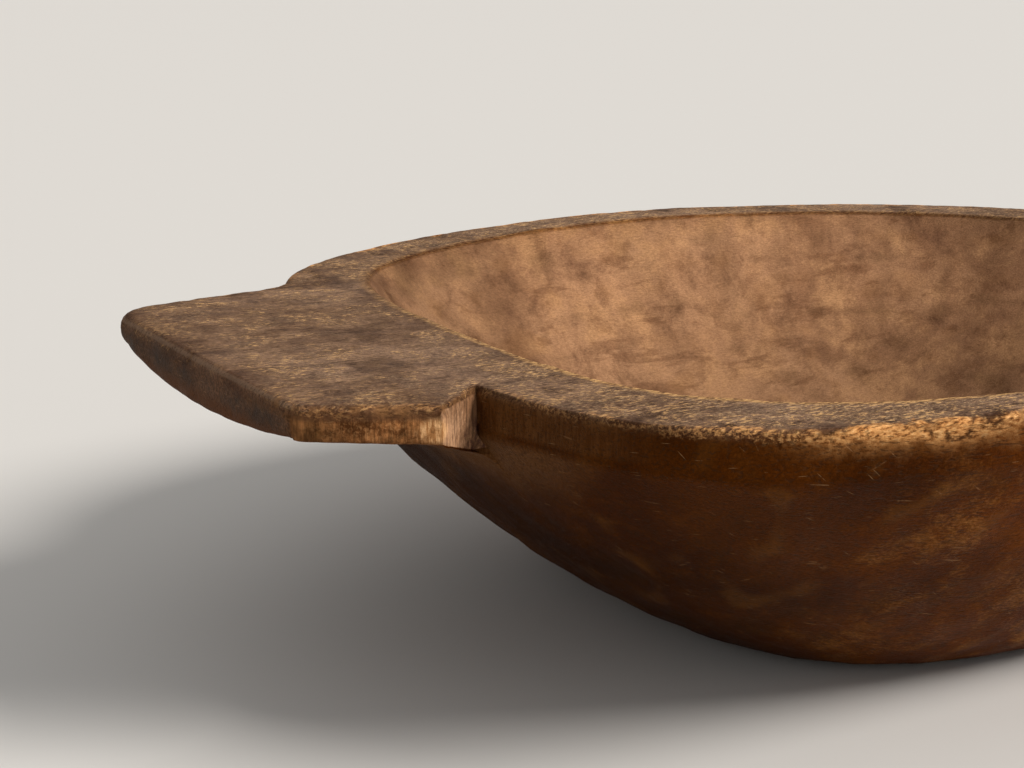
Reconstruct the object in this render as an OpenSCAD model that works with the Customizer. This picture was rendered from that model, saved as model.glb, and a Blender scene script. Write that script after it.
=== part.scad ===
// Carved wooden dough bowl with two lug handles, hollowed out of one log.
// Units are millimetres. +X runs along the grain from handle to handle, +Z is up,
// the origin is the middle of the flat base. The near side is -Y, the far side is +Y.
// The bowl is a single skin: rings of points climb from the middle of the base up the
// outer wall, over the rim and down into the hollow to the middle of its floor.
// Angles are seen from above, counted anticlockwise from +X.

/* [Bowl] */
// Length of the bowl itself at the rim, without the handles
bowl_len = 500; // [440:5:540]
// Half width of the rim on the near side
near_half = 210; // [195:1:225]
// Half width of the rim on the far side
far_half = 217; // [195:1:225]
// Height of the rim above the base
bowl_h = 133; // [120:1:145]
// Squareness of the rim corners on the near side (2 is an ellipse)
near_square = 4.0; // [3:0.1:4.4]
// Squareness of the rim corners on the far side
far_square = 2.8; // [2.5:0.1:4]

/* [Outer wall] */
// Length of the underside before it is planed flat
base_len = 216; // [190:2:236]
// Width of the underside before it is planed flat
base_wid = 218; // [190:2:236]
// Squareness of the base outline
base_square = 2.6; // [2.2:0.1:3]
// Belly of the end walls (1 is a straight slope)
end_belly = 1.58; // [1.4:0.02:1.8]
// Belly of the side walls (1 is a straight slope)
side_belly = 1.72; // [1.4:0.02:1.9]
// Depth of the upright band left under the rim
rim_band = 18; // [14:1:22]
// Wood planed off the underside to make it stand level
planed = 1.5; // [1:0.5:2]

/* [Rim and hollow] */
// Width of the rim on the near side
rim_near = 24; // [20:1:30]
// Width of the rim on the far side
rim_far = 27; // [20:1:32]
// Width of the rim at the two ends
rim_end = 37; // [30:1:44]
// Worn radius of the outer rim edge
edge_r = 2.5; // [2:0.5:4]
// Worn radius of the inner rim edge
lip_r = 2; // [1:0.5:3]
// Wood left under the floor of the hollow
floor_thk = 20; // [16:1:26]
// Length of the level floor of the hollow
floor_len = 124; // [90:2:140]
// Width of the level floor of the hollow
floor_wid = 116; // [90:2:130]
// Squareness of the floor outline
floor_square = 2.2; // [2:0.1:2.6]
// Belly of the hollow (larger gives steeper walls)
hollow_belly = 2.45; // [2.1:0.05:2.7]

/* [Handles] */
// How far each handle reaches past the end of the bowl
handle_reach = 75; // [65:1:80]
// How much shorter the handle is at its near corner
near_short = 7; // [0:1:10]
// Half width of the handle end on the near side
tip_near = 90; // [82:1:94]
// Half width of the handle end on the far side
tip_far = 94; // [84:1:98]
// Thickness of the handle along its flanks
flank_thk = 13; // [12:0.5:16]
// Thickness of the handle in the middle of its end
tip_thk = 19.5; // [18:0.5:24]
// Radius of the near corner of the handle, seen from above
near_corner = 11; // [9:1:16]
// Radius of the far corner of the handle, seen from above
far_corner = 24; // [18:1:28]
// Worn radius of the upper edge at the far corner of the handle
tip_r = 4.5; // [3:0.5:6]
// Lift of the handle tips above the rim
tip_lift = 1.5; // [0:0.5:3]

/* [Shoulders] */
// Angle at which the near shoulder meets the rim
near_angle = 199.5; // [197:0.5:202]
// Angle at which the far shoulder meets the rim
far_angle = 152.5; // [151:0.5:155]
// How far the near shoulder is cut back, towards the end and outwards
near_cut = [24, 22]; // [16:1:28]
// How far the far shoulder is cut back, towards the end and outwards
far_cut = [6, 6]; // [4:1:10]
// Depth of wood showing in the shoulder cuts
shoulder_thk = 25; // [22:1:28]
// Depth below the rim where the underside of the handle leaves the wall
root_depth = 40; // [36:1:44]
// Depth of the hollow curve between that wall and the underside
root_fillet = 22; // [14:1:24]

/* [Hidden] */

// the far side of the rim bulges more, so the middle line of the handles is off centre
axis_y = -(far_half - near_half) / 2;
middle = [0, axis_y];
half_len = bowl_len / 2;
tip_x = half_len + handle_reach;
blank_h = bowl_h + planed;
hollow_h = bowl_h - floor_thk;

// unevenness of the hewn rim: each row is the angle, its spread and its height
sways = [[92, 20, 2], [40, 25, -3.5], [135, 14, -1.6]];

// the hollow keeps a little of the squareness of the outer rim
near_inner_square = near_square * 0.85;
far_inner_square = far_square * 1.09;
// the end of the handle bows out by this much, and its thickness swells as fast as this
end_bow = 1;
end_swell = 0.8;
// the flanks thicken a little towards the shoulders
root_thk = flank_thk + 1.5;
// the curve under the handles dies out as fast as this
fillet_fade = 1.25;

// columns of the handle as turns away from the shoulders, for spreading the wood behind it
far_turns = [1.5, 8, 10];
near_turns = [15, 13.5, 10];

// how finely the skin is divided
side_steps = 34;
wall_rings = 8;
root_rings = 5;
flank_rings = 3;
edge_rings = 3;
top_rings = 4;
hollow_rings = 10;
flat_rings = 3;
// rings of the outer wall sit closer together near the base, where it flattens out
wall_bunching = 1.62;

// closed rim-like curve, as a point at the angle a
function oval(a, hl, hn, hf, sn, sf) =
    let (c = cos(a), s = sin(a), p = sn + (sf - sn) * (1 + s) / 2, b = s > 0 ? hf : hn)
    let (r = pow(pow(abs(c) / hl, p) + pow(abs(s) / b, p), -1 / p))
    [r * c, r * s + axis_y];

function mix(a, b, u) = a + (b - a) * u;
function unit(t) = max(0, min(1, t));

// outer wall at the angle a, d below the rim
function wall(a, d) =
    let (t = unit((blank_h - d) / (blank_h - rim_band)))
    let (te = pow(t, 1 / end_belly), ts = pow(t, 1 / side_belly))
    oval(a, mix(base_len / 2, half_len, te), mix(base_wid / 2, near_half, ts),
        mix(base_wid / 2, far_half, ts), mix(base_square, near_square, t), mix(base_square, far_square, t));

// wall of the hollow at the angle a, d below the rim
function hollow(a, d) =
    let (t = unit((hollow_h - d) / hollow_h))
    let (w = pow(t, 1 / hollow_belly))
    oval(a, mix(floor_len / 2, half_len - rim_end, w), mix(floor_wid / 2, near_half - rim_near, w),
        mix(floor_wid / 2, far_half - rim_far, w),
        mix(floor_square, near_inner_square, t), mix(floor_square, far_inner_square, t));

// corners of the left handle, from the far shoulder round the tip to the near shoulder
far_in = wall(far_angle, 0);
far_root = far_in - far_cut;
far_tip = [-tip_x, axis_y + tip_far];
near_tip = [-tip_x + near_short, axis_y - tip_near];
near_in = wall(near_angle, 0);
near_root = near_in - near_cut;

// where a corner of radius r at c starts on the side towards p, with its other side towards q
function corner_start(p, c, q, r) =
    let (u = (p - c) / norm(p - c), v = (q - c) / norm(q - c))
    c + u * r / tan(acos(u * v) / 2);
far_start = corner_start(far_root, far_tip, near_tip, far_corner);
far_stop = corner_start(near_tip, far_tip, far_root, far_corner);
near_start = corner_start(far_tip, near_tip, near_root, near_corner);
near_stop = corner_start(near_root, near_tip, far_tip, near_corner);

// A column is [point of the outline, angle, thickness, upper edge radius, 1 for a handle].
// One stretch of columns along a straight line, or round a corner at c.
function bend(p, c, q, u) = mix(mix(p, c, u), mix(c, q, u), u);
function turn(p, c, q, a, t, r, n) =
    [for (k = [0 : n - 1]) let (u = k / n)
        [bend(p, c, q, u), mix(a[0], a[1], u), mix(t[0], t[1], u), mix(r[0], r[1], u), 1]];
function run(p, q, a, t, r, n) = turn(p, (p + q) / 2, q, a, t, r, n);
// the end of the handle is thickest in the middle and bows out slightly
function tip(p, q, a, t, tm, r, n) =
    [for (k = [0 : n - 1]) let (u = k / n, arch = sin(180 * u))
        [mix(p, q, u) - [end_bow * arch, 0], mix(a[0], a[1], u),
            mix(t[0], t[1], u) + (tm - (t[0] + t[1]) / 2) * pow(arch, end_swell), mix(r[0], r[1], u), 1]];

fa = [for (t = far_turns) far_angle + t];
na = [for (t = near_turns) near_angle - t];
left = concat(
    run(far_in, far_root, [far_angle, fa[0]], [shoulder_thk, root_thk], [edge_r, edge_r], 2),
    run(far_root, far_start, [fa[0], fa[1]], [root_thk, flank_thk], [edge_r, edge_r], 5),
    turn(far_start, far_tip, far_stop, [fa[1], fa[2]], [flank_thk, flank_thk], [edge_r, tip_r], 4),
    tip(far_stop, near_start, [fa[2], na[0]], [flank_thk, flank_thk], tip_thk, [tip_r, edge_r], 9),
    turn(near_start, near_tip, near_stop, [na[0], na[1]], [flank_thk, flank_thk], [edge_r, edge_r], 3),
    run(near_stop, near_root, [na[1], na[2]], [flank_thk, root_thk], [edge_r, edge_r], 3),
    run(near_root, near_in, [na[2], near_angle], [root_thk, shoulder_thk], [edge_r, edge_r], 3));
// the right handle mirrors the left one
right = [for (k = [len(left) - 1 : -1 : 1]) let (c = left[k])
    [[-c[0][0], c[0][1]], 180 - c[1], c[2], c[3], 1]];
// beside the handles the outline is the rim itself
function rim_columns(a0, a1, t0) =
    [for (k = [0 : side_steps]) let (a = mix(a0, a1, k / side_steps))
        [wall(a, 0), a, k == 0 || k == side_steps ? t0 : flank_thk, edge_r, 0]];
cols = concat(right, rim_columns(180 - far_angle, far_angle, shoulder_thk),
    [for (k = [1 : len(left) - 1]) left[k]],
    rim_columns(near_angle, 540 - near_angle, shoulder_thk));
n = len(cols);

// unit vector pointing into the wood at each column
inward = [for (i = [0 : n - 1])
    let (d = cols[(i + 1) % n][0] - cols[(i + n - 1) % n][0]) [-d[1], d[0]] / norm(d)];
function lift(c) = c[4] * tip_lift * pow(unit((abs(c[0][0]) - half_len) / handle_reach), 1.5);
function up(q, z) = [q[0], q[1], z];
function out_from(q, m) = q + (q - middle) / norm(q - middle) * m;

// underside of the blank, and the outer wall up to the roots of the handles
base_r = [for (k = [1 : flat_rings - 1]) [for (c = cols)
    up(mix(middle, wall(c[1], blank_h), k / flat_rings), -planed)]];
wall_r = [for (k = [0 : wall_rings])
    let (d = blank_h - (blank_h - root_depth) * pow(k / wall_rings, wall_bunching))
    [for (c = cols) up(wall(c[1], d), bowl_h - d)]];

// underside of the handles, or the rest of the wall beside them
function under(c, u) =
    let (w = wall(c[1], root_depth), d = mix(root_depth, c[2], u))
    let (dh = mix(root_depth - root_fillet, c[2], u) + root_fillet * pow(1 - u, fillet_fade))
    c[4] == 1 ? up(mix(w, c[0], u), bowl_h - dh + lift(c) * u) : up(wall(c[1], d), bowl_h - d);
under_r = [for (k = [1 : root_rings]) [for (c = cols) under(c, k / root_rings)]];

// upright flank, worn edge, flat top
function flank(c, u) =
    let (d = mix(c[2], c[3], u))
    up(c[4] == 1 ? c[0] : wall(c[1], d), bowl_h - d + lift(c));
flank_r = [for (k = [1 : flank_rings]) [for (c = cols) flank(c, k / (flank_rings + 1))]];
function edge(i, a) = let (c = cols[i])
    up(c[0] + inward[i] * c[3] * (1 - cos(a)), bowl_h - c[3] * (1 - sin(a)) + lift(c));
edge_rows = [for (k = [0 : edge_rings]) [for (i = [0 : n - 1]) edge(i, 90 * k / edge_rings)]];
function top(i, u) =
    let (e = edge(i, 90), q = [e[0], e[1]])
    up(mix(q, out_from(hollow(cols[i][1], 0), lip_r), u), bowl_h + lift(cols[i]) * (1 - u));
top_r = [for (k = [1 : top_rings]) [for (i = [0 : n - 1]) top(i, k / top_rings)]];

// worn lip, the hollow and its floor
lip_row = [[for (c = cols) up(out_from(hollow(c[1], lip_r), lip_r / 3), bowl_h - lip_r / 3)]];
hollow_r = [for (k = [0 : hollow_rings])
    let (d = hollow_h - pow(1 - k / hollow_rings, hollow_belly) * (hollow_h - lip_r))
    [for (c = cols) up(hollow(c[1], d), bowl_h - d)]];
floor_r = [for (k = [1 : flat_rings - 1]) [for (c = cols)
    up(mix(middle, hollow(c[1], hollow_h), 1 - k / flat_rings), floor_thk)]];

rings = concat(base_r, wall_r, under_r, flank_r, edge_rows, top_r, lip_row, hollow_r, floor_r);
m = len(rings);

// the rim rises and dips a little, less and less towards the base
function sway(a, k = 0) = k == len(sways) ? 0
    : sways[k][2] * exp(-pow((a - sways[k][0]) / sways[k][1], 2)) + sway(a, k + 1);
function settle(q) = q + [0, 0, sway(atan2(q[1] - axis_y, q[0])) * pow(unit(q[2] / bowl_h), 2)];

skin = concat([for (r = rings) for (q = r) settle(q)], [[0, axis_y, -planed], [0, axis_y, floor_thk]]);
quads = [for (j = [0 : m - 2]) for (i = [0 : n - 1])
    let (a = j * n + i, b = j * n + (i + 1) % n)
    each [[a, a + n, b], [b, a + n, b + n]]];
caps = [for (i = [0 : n - 1])
    each [[m * n, i, (i + 1) % n], [m * n + 1, (m - 1) * n + (i + 1) % n, (m - 1) * n + i]]];

// the whole bowl, with its hollow, rim and both handles, is one piece of wood
module bowl_body() {
    color([0.36, 0.22, 0.12])
        difference() {
            polyhedron(points = skin, faces = concat(quads, caps), convexity = 6);
            // the underside is planed flat
            translate([-half_len, -half_len, -4 * planed])
                cube([bowl_len, bowl_len, 4 * planed]);
        }
}

bowl_body();
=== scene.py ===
"""Carved wooden dough bowl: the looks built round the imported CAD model.

Lengths in the carving part are millimetres and angles are degrees, anticlockwise from +X seen
from above; the finished mesh is in metres. +X runs along the grain from handle to handle, -Y is
the near side, +Z is up, and the origin is the middle of the flat base.
"""

import bpy
import numpy as np
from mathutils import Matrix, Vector


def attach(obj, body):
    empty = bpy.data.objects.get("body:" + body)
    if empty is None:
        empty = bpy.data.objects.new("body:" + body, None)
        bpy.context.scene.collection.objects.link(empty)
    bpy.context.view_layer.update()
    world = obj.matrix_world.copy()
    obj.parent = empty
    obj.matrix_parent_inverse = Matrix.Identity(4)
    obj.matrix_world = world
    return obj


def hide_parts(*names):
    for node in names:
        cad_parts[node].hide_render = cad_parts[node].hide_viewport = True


MM = 0.001


# ---------------------------------------------------------------- camera
def place_camera():
    """Long-lens view over the left handle towards the hollow."""
    data = bpy.data.cameras.new("camera")
    data.lens = 68.0
    data.sensor_width = 36.0
    data.clip_start = 0.02
    data.clip_end = 60.0
    cam = bpy.data.objects.new("camera", data)
    cam.location = (-0.550, -0.681, 0.298)
    cam.rotation_euler = np.radians((76.04, 0.0, -28.27))
    bpy.context.scene.collection.objects.link(cam)
    bpy.context.scene.camera = cam


place_camera()
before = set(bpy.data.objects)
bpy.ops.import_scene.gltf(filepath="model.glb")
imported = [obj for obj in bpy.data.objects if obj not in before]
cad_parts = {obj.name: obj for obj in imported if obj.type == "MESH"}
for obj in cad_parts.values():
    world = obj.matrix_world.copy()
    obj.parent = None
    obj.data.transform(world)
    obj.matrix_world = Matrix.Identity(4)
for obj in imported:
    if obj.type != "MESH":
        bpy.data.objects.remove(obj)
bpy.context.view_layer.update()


# ---------------------------------------------------------------- sizes, as in the part
BOWL_LEN = 500.0
NEAR_HALF = 210.0
FAR_HALF = 217.0
BOWL_H = 133.0
NEAR_SQUARE = 4.0
FAR_SQUARE = 2.8
BASE_LEN = 216.0
BASE_WID = 218.0
BASE_SQUARE = 2.6
END_BELLY = 1.58
SIDE_BELLY = 1.72
RIM_BAND = 18.0
PLANED = 1.5
RIM_NEAR = 24.0
RIM_FAR = 27.0
RIM_END = 37.0
EDGE_R = 2.5
LIP_R = 2.0
FLOOR_THK = 20.0
FLOOR_LEN = 124.0
FLOOR_WID = 116.0
FLOOR_SQUARE = 2.2
HOLLOW_BELLY = 2.45
HANDLE_REACH = 75.0
NEAR_SHORT = 7.0
TIP_NEAR = 90.0
TIP_FAR = 94.0
FLANK_THK = 13.0
TIP_THK = 19.5
NEAR_CORNER = 11.0
FAR_CORNER = 24.0
TIP_R = 4.5
TIP_LIFT = 1.5
NEAR_ANGLE = 199.5
FAR_ANGLE = 152.5
NEAR_CUT = np.array((24.0, 22.0))
FAR_CUT = np.array((6.0, 6.0))
SHOULDER_THK = 25.0
ROOT_DEPTH = 40.0
ROOT_FILLET = 22.0
FILLET_FADE = 1.25
END_BOW = 1.0
END_SWELL = 0.8

# wear that only the visual skin has: radii of the lower edges and of the shoulder cuts
TIP_LOWER_R = 3.2
FLANK_LOWER_R = 1.4
CUT_LOWER_R = 0.3
CUT_R = 1.0
# extra rounding of the far corner of each handle, above and below, and how far it reaches
NOSE_UPPER_R = 2.0
NOSE_LOWER_R = 2.8
NOSE_REACH = 26.0
# share of the edge radius left beside the near shoulders, and where along X the wear sets in
CRISP_SHARE = 0.35
WORN_FROM = 220.0
WORN_OVER = 90.0

ROOT_THK = FLANK_THK + 1.5
FAR_TURNS = (1.5, 8.0, 10.0)
NEAR_TURNS = (15.0, 13.5, 10.0)
SWAYS = ((92.0, 20.0, 2.0), (40.0, 25.0, -3.5), (135.0, 14.0, -1.6))
WALL_BUNCHING = 1.62

AXIS_Y = -(FAR_HALF - NEAR_HALF) / 2
MIDDLE = np.array((0.0, AXIS_Y))
HALF_LEN = BOWL_LEN / 2
TIP_X = HALF_LEN + HANDLE_REACH
BLANK_H = BOWL_H + PLANED
HOLLOW_H = BOWL_H - FLOOR_THK

# how finely the skin is divided
NEAR_COLUMNS = 300
FAR_COLUMNS = 190
LEFT_COUNTS = (12, 46, 16, 78, 20, 34, 26)
RIGHT_COUNTS = (8, 26, 12, 44, 12, 18, 14)
BASE_RINGS = 3
WALL_RINGS = 30
UNDER_RINGS = 12
FLANK_RINGS = 8
EDGE_RINGS = 5
TOP_RINGS = 13
LIP_RINGS = 3
HOLLOW_RINGS = 24
FLOOR_RINGS = 4


def mix(a, b, u):
    return a + (b - a) * u


def oval(a, hl, hn, hf, sn, sf):
    """Closed rim-like curve; every argument is an array over the columns or a number."""
    c, s = np.cos(np.radians(a)), np.sin(np.radians(a))
    p = sn + (sf - sn) * (1 + s) / 2
    b = np.where(s > 0, hf, hn)
    r = ((np.abs(c) / hl) ** p + (np.abs(s) / b) ** p) ** (-1 / p)
    return np.stack((r * c, r * s + AXIS_Y), -1)


def wall(a, d):
    """Outer wall at the angle a, d below the rim."""
    t = np.clip((BLANK_H - d) / (BLANK_H - RIM_BAND), 0, 1)
    te, ts = t ** (1 / END_BELLY), t ** (1 / SIDE_BELLY)
    return oval(a, mix(BASE_LEN / 2, HALF_LEN, te), mix(BASE_WID / 2, NEAR_HALF, ts),
                mix(BASE_WID / 2, FAR_HALF, ts), mix(BASE_SQUARE, NEAR_SQUARE, t),
                mix(BASE_SQUARE, FAR_SQUARE, t))


def hollow(a, d):
    """Wall of the hollow at the angle a, d below the rim."""
    t = np.clip((HOLLOW_H - d) / HOLLOW_H, 0, 1)
    w = t ** (1 / HOLLOW_BELLY)
    return oval(a, mix(FLOOR_LEN / 2, HALF_LEN - RIM_END, w),
                mix(FLOOR_WID / 2, NEAR_HALF - RIM_NEAR, w),
                mix(FLOOR_WID / 2, FAR_HALF - RIM_FAR, w),
                mix(FLOOR_SQUARE, NEAR_SQUARE * 0.85, t), mix(FLOOR_SQUARE, FAR_SQUARE * 1.09, t))


# ---------------------------------------------------------------- outline columns
def corner_start(p, c, q, r):
    """Where a corner of radius r at c starts on the side towards p."""
    u = (p - c) / np.linalg.norm(p - c)
    v = (q - c) / np.linalg.norm(q - c)
    return c + u * r / np.tan(np.arccos(u @ v) / 2)


def stretch(kind, pts, a, t, r, n, swell=None):
    """n columns along a line or round a corner: x, y, angle, thickness, edge radius, kind, and
    1 for a column on a handle."""
    u = (np.arange(n) / n)[:, None]
    p, c, q = pts
    xy = mix(mix(p, c, u), mix(c, q, u), u)
    u = u[:, 0]
    thick = mix(t[0], t[1], u)
    if swell is not None:
        arch = np.sin(np.pi * u)
        xy = xy - np.stack((END_BOW * arch, 0 * arch), -1)
        thick = thick + (swell - (t[0] + t[1]) / 2) * arch ** END_SWELL
    cols = np.zeros((n, 7))
    cols[:, :2], cols[:, 2], cols[:, 3] = xy, mix(a[0], a[1], u), thick
    cols[:, 4], cols[:, 5], cols[:, 6] = mix(r[0], r[1], u), kind, 1
    return cols


def halved(cols):
    """The end of the handle turns into its flank part of the way round the near corner."""
    cols[len(cols) * 2 // 5:, 5] = FLANK
    return cols


# kinds of column
RIM, FAR_SHOULDER, FLANK, TIP, NEAR_SHOULDER = range(5)


def left_handle(counts):
    far_in = wall(FAR_ANGLE, 0.0)
    far_root = far_in - FAR_CUT
    far_tip = np.array((-TIP_X, AXIS_Y + TIP_FAR))
    near_tip = np.array((-TIP_X + NEAR_SHORT, AXIS_Y - TIP_NEAR))
    near_in = wall(NEAR_ANGLE, 0.0)
    near_root = near_in - NEAR_CUT
    far_start = corner_start(far_root, far_tip, near_tip, FAR_CORNER)
    far_stop = corner_start(near_tip, far_tip, far_root, FAR_CORNER)
    near_start = corner_start(far_tip, near_tip, near_root, NEAR_CORNER)
    near_stop = corner_start(near_root, near_tip, far_tip, NEAR_CORNER)
    fa = [FAR_ANGLE + t for t in FAR_TURNS]
    na = [NEAR_ANGLE - t for t in NEAR_TURNS]

    def line(p, q):
        return p, (p + q) / 2, q

    plain, worn = (EDGE_R, EDGE_R), (EDGE_R, TIP_R)
    thin = (FLANK_THK, FLANK_THK)
    return np.concatenate((
        stretch(FAR_SHOULDER, line(far_in, far_root), (FAR_ANGLE, fa[0]), (SHOULDER_THK, ROOT_THK),
                plain, counts[0]),
        stretch(FLANK, line(far_root, far_start), fa[0:2], (ROOT_THK, FLANK_THK), plain, counts[1]),
        stretch(TIP, (far_start, far_tip, far_stop), fa[1:3], thin, worn, counts[2]),
        stretch(TIP, line(far_stop, near_start), (fa[2], na[0]), thin, worn[::-1], counts[3],
                TIP_THK),
        halved(stretch(TIP, (near_start, near_tip, near_stop), na[0:2], thin, plain, counts[4])),
        stretch(FLANK, line(near_stop, near_root), na[1:3], (FLANK_THK, ROOT_THK), plain,
                counts[5]),
        stretch(NEAR_SHOULDER, line(near_root, near_in), (na[2], NEAR_ANGLE),
                (ROOT_THK, SHOULDER_THK), plain, counts[6])))


def rim_columns(a0, a1, n):
    a = np.linspace(a0, a1, n + 1)
    cols = np.zeros((n + 1, 7))
    cols[:, :2] = wall(a, 0.0)
    cols[:, 2], cols[:, 3], cols[:, 4] = a, FLANK_THK, EDGE_R
    cols[0, 3] = cols[-1, 3] = SHOULDER_THK
    return cols


def all_columns():
    left = left_handle(LEFT_COUNTS)
    right = left_handle(RIGHT_COUNTS)[:0:-1].copy()
    right[:, 0] *= -1
    right[:, 2] = 180 - right[:, 2]
    far_rim = rim_columns(180 - FAR_ANGLE, FAR_ANGLE, FAR_COLUMNS)
    near_rim = rim_columns(NEAR_ANGLE, 540 - NEAR_ANGLE, NEAR_COLUMNS)
    return np.concatenate((right, far_rim, left[1:], near_rim))


COLS = all_columns()
ANGLE, THICK, EDGE, KIND, ON_HANDLE = (COLS[:, k] for k in range(2, 7))
OUTLINE = COLS[:, :2]
IN_CUT = np.isin(KIND, (NEAR_SHOULDER, FAR_SHOULDER))
BY_CUT = (KIND == RIM) & (np.roll(IN_CUT, 1) | np.roll(IN_CUT, -1))
# the near rim is still crisp beside the handles and worn round along its middle
NEAR_RIM = (KIND == RIM) & (OUTLINE[:, 1] < 0)
WORN = np.clip((WORN_FROM - np.abs(OUTLINE[:, 0])) / WORN_OVER, 0, 1)
WORN_ROUND = np.where(NEAR_RIM, CRISP_SHARE + (1 - CRISP_SHARE) * WORN, 1.0)


def inward_normals():
    d = np.roll(OUTLINE, -1, 0) - np.roll(OUTLINE, 1, 0)
    return np.stack((-d[:, 1], d[:, 0]), -1) / np.linalg.norm(d, axis=1)[:, None]


def raised(xy, z):
    """Points of a plan put at the height z."""
    height = np.broadcast_to(np.asarray(z, float), xy.shape[:1])
    return np.concatenate((xy, height[:, None]), 1)


def out_from(q, m):
    """Points of a plan moved by m away from its middle."""
    away = q - MIDDLE
    return q + away / np.linalg.norm(away, axis=1)[:, None] * m


def blur(f, times, across=True):
    """Smooths a field over the skin, round the rings and up the columns."""
    for _ in range(times):
        f = 0.5 * f + 0.25 * (np.roll(f, 1, 1) + np.roll(f, -1, 1))
        if across:
            g = f.copy()
            g[1:-1] = 0.5 * f[1:-1] + 0.25 * (f[2:] + f[:-2])
            f = g
    return f


# zones of the skin, in the order that its rings climb
BASE, WALL, UNDER, SIDE, BROW, TOP, LIP, HOLLOW, FLOOR = range(9)


def skin_rings():
    """Rings of points from the base up the wall, over the rim and down to the floor."""
    inward = inward_normals()
    past_end = np.clip((np.abs(OUTLINE[:, 0]) - HALF_LEN) / HANDLE_REACH, 0, 1)
    lift = ON_HANDLE * TIP_LIFT * past_end ** 1.5
    on = ON_HANDLE[:, None] == 1
    to_nose = np.abs(OUTLINE) - (TIP_X, AXIS_Y + TIP_FAR)
    nose = np.exp(-np.sum(to_nose ** 2, 1) / NOSE_REACH ** 2) * (OUTLINE[:, 1] > 0)
    low_r = np.where(IN_CUT, CUT_LOWER_R, np.where(KIND == TIP, TIP_LOWER_R, FLANK_LOWER_R))
    low_r = blur((low_r + NOSE_LOWER_R * nose)[None], 3, False)[0]
    top_r = np.where(IN_CUT, CUT_R, EDGE * WORN_ROUND) + NOSE_UPPER_R * nose
    top_r = blur(top_r[None], 2, False)[0]
    rings, zones = [], []

    def add(zone, xyz):
        rings.append(xyz)
        zones.append(zone)

    for k in range(1, BASE_RINGS):
        add(BASE, raised(mix(MIDDLE, wall(ANGLE, BLANK_H), k / BASE_RINGS), -PLANED))
    for k in range(WALL_RINGS + 1):
        d = BLANK_H - (BLANK_H - ROOT_DEPTH) * (k / WALL_RINGS) ** WALL_BUNCHING
        add(WALL, raised(wall(ANGLE, d), BOWL_H - d))
    root = wall(ANGLE, ROOT_DEPTH)
    for k in range(1, UNDER_RINGS + 1):
        u = k / UNDER_RINGS
        d = mix(ROOT_DEPTH, THICK, u)
        drop = mix(ROOT_DEPTH - ROOT_FILLET, THICK, u) + ROOT_FILLET * (1 - u) ** FILLET_FADE
        tuck = low_r * np.clip((u - 0.75) / 0.25, 0, 1) * inward.T
        held = raised(mix(root, OUTLINE, u) + tuck.T, BOWL_H - drop + lift * u)
        add(UNDER, np.where(on, held, raised(wall(ANGLE, d), BOWL_H - d)))
    for k in range(1, FLANK_RINGS + 1):
        d = mix(THICK, top_r, (k / (FLANK_RINGS + 1)) ** 1.2)
        gap = 1 - np.clip((THICK - d) / low_r, 0, 1)
        tuck = (low_r * (1 - np.sqrt(1 - gap ** 2)))[:, None] * inward
        add(SIDE, raised(np.where(on, OUTLINE + tuck, wall(ANGLE, d)), BOWL_H - d + lift))

    def edge(a):
        return raised(OUTLINE + inward * (top_r * (1 - np.cos(a)))[:, None],
                      BOWL_H - top_r * (1 - np.sin(a)) + lift)

    for k in range(EDGE_RINGS + 1):
        add(BROW, edge(np.pi / 2 * k / EDGE_RINGS))
    brow = edge(np.pi / 2)[:, :2]
    mouth = out_from(hollow(ANGLE, 0.0), LIP_R)
    for k in range(1, TOP_RINGS + 1):
        u = k / TOP_RINGS
        add(TOP, raised(mix(brow, mouth, u), BOWL_H + lift * (1 - u)))
    for k in range(1, LIP_RINGS + 1):
        a = np.pi / 2 * k / (LIP_RINGS + 1)
        d = LIP_R * (1 - np.cos(a))
        add(LIP, raised(out_from(hollow(ANGLE, d), LIP_R * (1 - np.sin(a))), BOWL_H - d))
    for k in range(HOLLOW_RINGS + 1):
        d = HOLLOW_H - (1 - k / HOLLOW_RINGS) ** HOLLOW_BELLY * (HOLLOW_H - LIP_R)
        add(HOLLOW, raised(hollow(ANGLE, d), BOWL_H - d))
    floor_edge = hollow(ANGLE, HOLLOW_H)
    for k in range(1, FLOOR_RINGS):
        add(FLOOR, raised(mix(MIDDLE, floor_edge, 1 - k / FLOOR_RINGS), FLOOR_THK))
    return np.array(rings), np.array(zones)


def sway(xy):
    """How much the hewn rim rises or dips at these places."""
    a = np.degrees(np.arctan2(xy[..., 1] - AXIS_Y, xy[..., 0]))
    return sum(h * np.exp(-((a - c) / w) ** 2) for c, w, h in SWAYS)


SKIN, ZONES = skin_rings()
SKIN[..., 2] += sway(SKIN) * np.clip(SKIN[..., 2] / BOWL_H, 0, 1) ** 2
NR, NC = SKIN.shape[:2]
ZONE = np.broadcast_to(ZONES[:, None], (NR, NC))
KIND_AT = np.broadcast_to(KIND[None], (NR, NC))


def grid_normals(p):
    """Outward normals of the skin, from its neighbours round and up."""
    around = np.roll(p, -1, 1) - np.roll(p, 1, 1)
    up = np.gradient(p, axis=0)
    n = np.cross(around, up)
    return n / np.maximum(np.linalg.norm(n, axis=-1, keepdims=True), 1e-9)


# ---------------------------------------------------------------- carving marks
# strokes: distance between them, radii of curvature along and across them, greatest depth, seed
ADZE = {"spacing": 21.0, "radii": (330.0, 150.0), "depth": 0.5, "seed": 11}
GOUGE = {"spacing": 17.0, "radii": (260.0, 85.0), "depth": 0.35, "seed": 12}
# most places tried for strokes, how much neighbours lean, and how soft the ridges between are
STROKE_TRIES = 9000
STROKE_LEAN = 0.22
RIDGE_WEAR = 0.18
# points worked on at a time, to save memory
BATCH = 4000
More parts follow.
